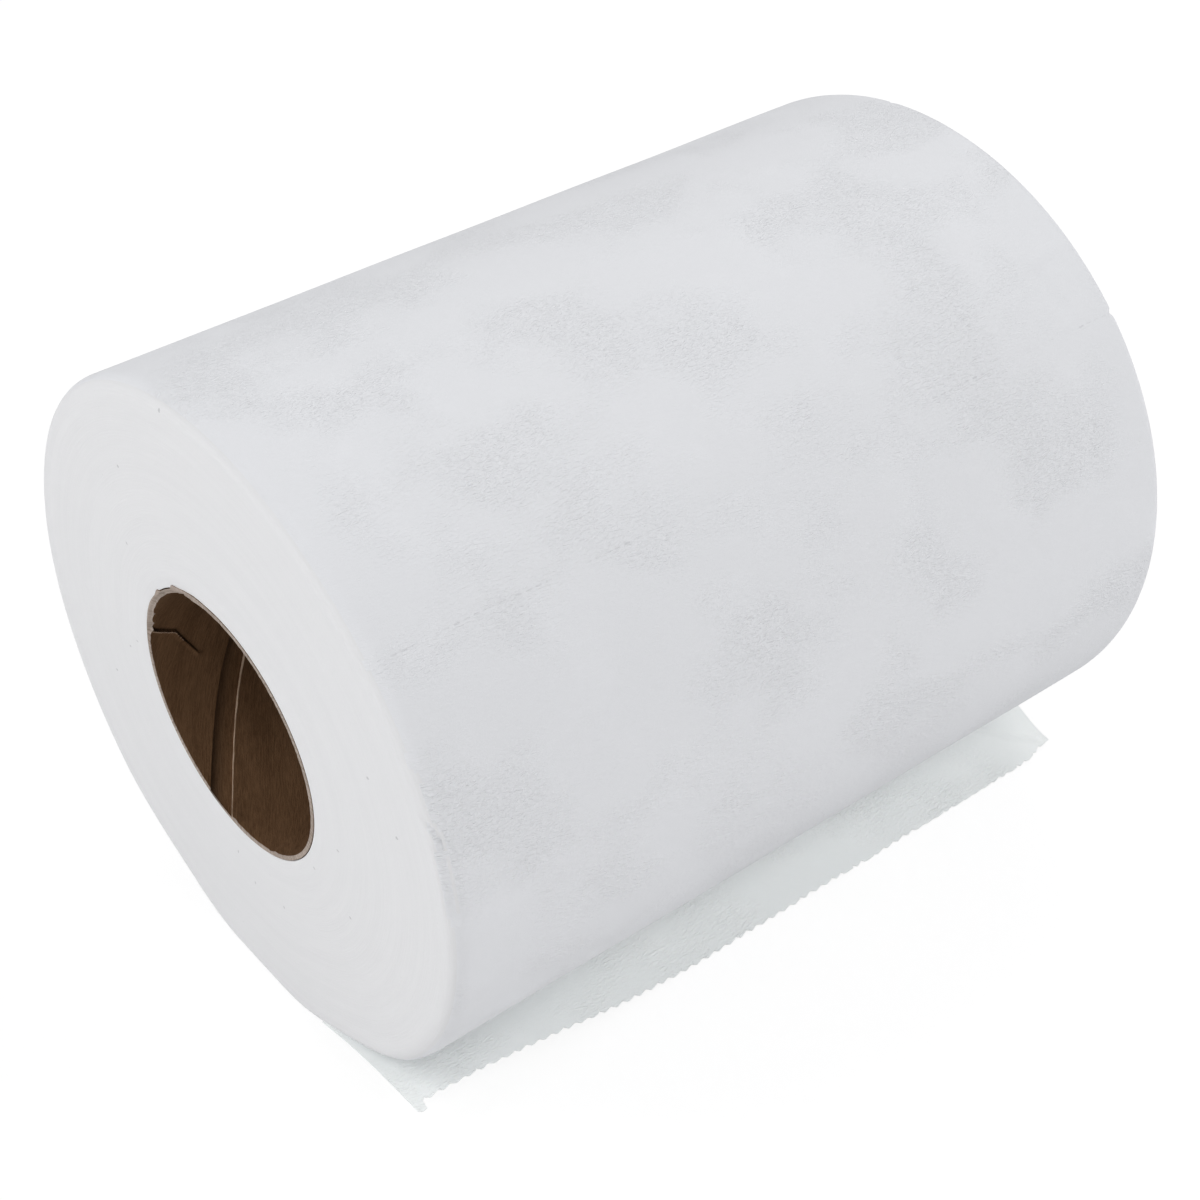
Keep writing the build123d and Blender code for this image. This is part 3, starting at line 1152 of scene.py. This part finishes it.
def make_floor():
    deselect_all()
    bpy.ops.mesh.primitive_plane_add(size=FLOOR_SIZE, location=(0, 0, -FLOOR_DROP))
    floor = name_piece("floor")
    material = bpy.data.materials.new("floor_white")
    material.use_nodes = True
    tree = material.node_tree
    tree.nodes.remove(tree.nodes["Principled BSDF"])
    diffuse = feed(tree, add(tree, "ShaderNodeBsdfDiffuse"), Color=(0.90, 0.90, 0.90, 1))
    glow = feed(tree, add(tree, "ShaderNodeEmission"), Color=(1, 1, 1, 1), Strength=1.1)
    path = add(tree, "ShaderNodeLightPath")
    seen = maths(tree, "ADD", path.outputs["Is Camera Ray"], path.outputs["Is Glossy Ray"])
    seen = maths(tree, "ADD", seen, path.outputs["Is Transmission Ray"], clamp=True)
    share = maths(tree, "MULTIPLY", seen, 0.75)
    mixed = add(tree, "ShaderNodeMixShader")
    feed(tree, mixed, Fac=share, in1=diffuse.outputs[0], in2=glow.outputs[0])
    tree.links.new(mixed.outputs[0], tree.nodes["Material Output"].inputs["Surface"])
    floor.data.materials.append(material)
    return floor


make_floor()
print("floor made")

# %% Light the studio
SURROUND = 0.40
LAMP_SIZE = 0.9
LAMP_TARGET = Vector((0, 0, AXIS_Z))


def light_surround():
    world = bpy.data.worlds.new("studio")
    bpy.context.scene.world = world
    world.use_nodes = True
    tree = world.node_tree
    path = add(tree, "ShaderNodeLightPath")
    seen = maths(tree, "ADD", path.outputs["Is Camera Ray"], path.outputs["Is Glossy Ray"])
    seen = maths(tree, "ADD", seen, path.outputs["Is Transmission Ray"], clamp=True)
    strength = maths(tree, "MULTIPLY_ADD", seen, 1 - SURROUND, SURROUND)
    feed(tree, tree.nodes["Background"], Color=(1, 1, 1, 1), Strength=strength)


def add_lamp(name, place, share):
    """A round lamp that gives a facing surface this share of plain white light."""
    light = bpy.data.lights.new(name, "AREA")
    light.shape = "DISK"
    light.size = LAMP_SIZE
    towards = LAMP_TARGET - Vector(place)
    light.energy = share * (math.pi * towards.length) ** 2
    lamp = bpy.data.objects.new(name, light)
    bpy.context.scene.collection.objects.link(lamp)
    lamp.location = place
    lamp.rotation_euler = towards.to_track_quat("-Z", "Y").to_euler()
    return lamp


light_surround()
LAMPS = [
    ("left_lamp", (-0.55, -1.05, 1.10), 0.30),
    ("far_lamp", (0.90, 0.90, 0.90), 0.32),
    ("high_lamp", (0.90, -0.75, 1.10), 0.15),
    ("back_lamp", (-0.60, 0.90, 1.10), 0.18),
    ("low_lamp", (0.0, -1.40, 0.40), 0.11),
]
for lamp_name, lamp_place, lamp_share in LAMPS:
    add_lamp(lamp_name, lamp_place, lamp_share)
print("lamps made")

# %% [markdown]
# ## The camera
# The camera stands in front of the near end's corner and looks down on the roll, with a long lens
# that keeps its two ends nearly the same size.

# %% Place the camera
CAMERA_TARGET = Vector((0.0288, -0.0236, 0.1023))
CAMERA_DISTANCE = 0.62
CAMERA_BACK = Vector((0.60797, -0.48544, 0.62827))
CAMERA_LENS = 69.585


def make_camera():
    data = bpy.data.cameras.new("studio_camera")
    data.lens = CAMERA_LENS
    data.sensor_width = 36.0
    camera = bpy.data.objects.new("studio_camera", data)
    bpy.context.scene.collection.objects.link(camera)
    camera.location = CAMERA_TARGET + CAMERA_BACK * CAMERA_DISTANCE
    turn = (-CAMERA_BACK).to_track_quat("-Z", "Y")
    camera.rotation_euler = turn.to_euler()
    bpy.context.scene.camera = camera
    return camera


make_camera()
bpy.context.scene.view_settings.view_transform = "Standard"
print("camera made")
